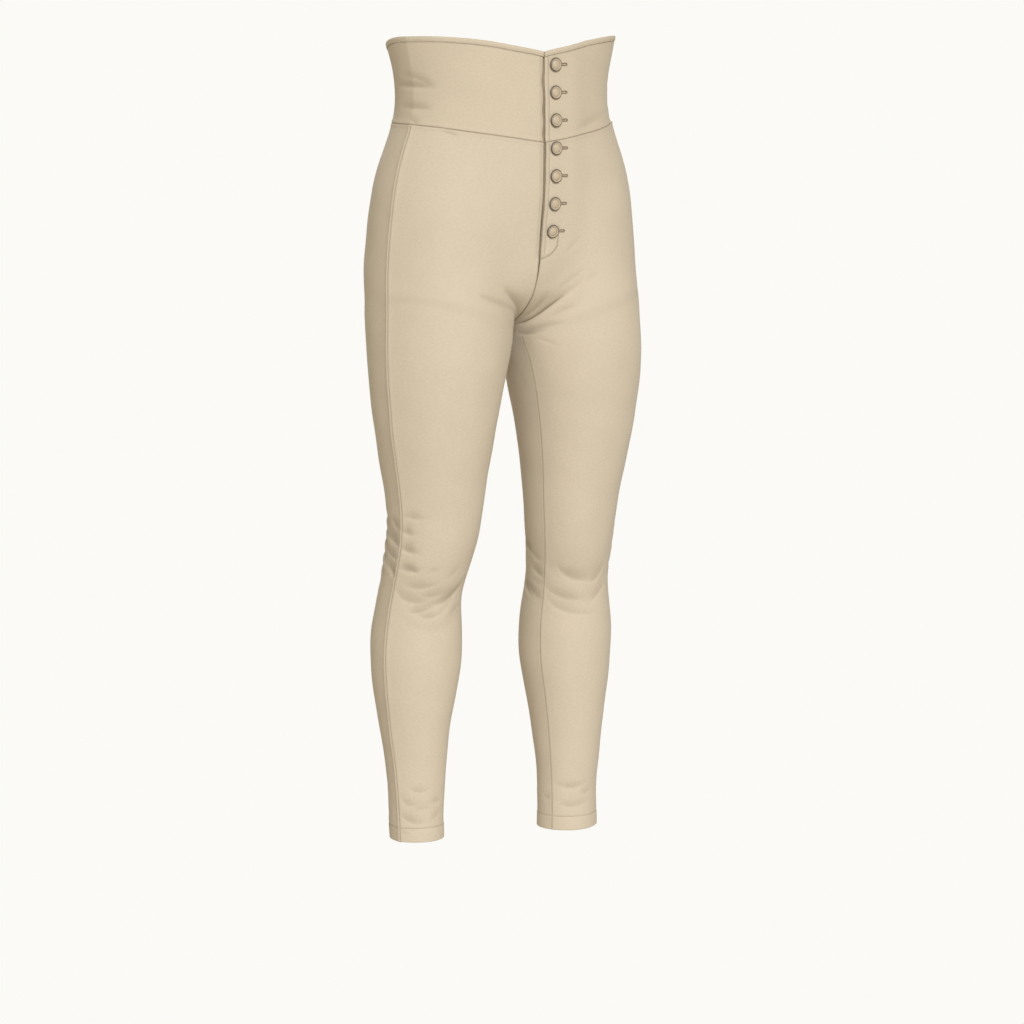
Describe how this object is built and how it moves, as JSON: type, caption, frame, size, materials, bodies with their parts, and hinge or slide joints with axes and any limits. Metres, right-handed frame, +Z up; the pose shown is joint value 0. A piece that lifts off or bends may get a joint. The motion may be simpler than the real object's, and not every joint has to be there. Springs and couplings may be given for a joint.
{
  "type": "pantaloons",
  "caption": "Close-fitting tapered pantaloons with a high flared waistband, a bound top edge, a lapped, buttoned front and turned-up hems, standing in the shape they are worn in.",
  "frame": {"origin": "centre of the natural waist, the narrowest level of the waistband, on the garment's middle plane", "axes": "+Z up towards the top edge, -Y towards the garment's front, +X towards the wearer's left"},
  "size_m": [0.3754, 0.2343, 1.0313],
  "materials": {
    "front": "matt tan twill",
    "back": "matt tan twill",
    "waistband": "matt tan twill",
    "binding": "matt tan twill, folded over the edge",
    "stand": "matt tan twill",
    "buttons": "satin horn, cloth-coloured"
  },
  "bodies": {
    "root": {"front_right": "front", "back_right": "back", "waistband_right": "waistband", "binding_right": "binding", "front_left": "front", "back_left": "back", "waistband_left": "waistband", "binding_left": "binding", "button_stand": "stand", "button_1": "buttons", "button_2": "buttons", "button_3": "buttons", "button_4": "buttons", "button_5": "buttons", "button_6": "buttons", "button_7": "buttons"}
  },
  "joints": []
}
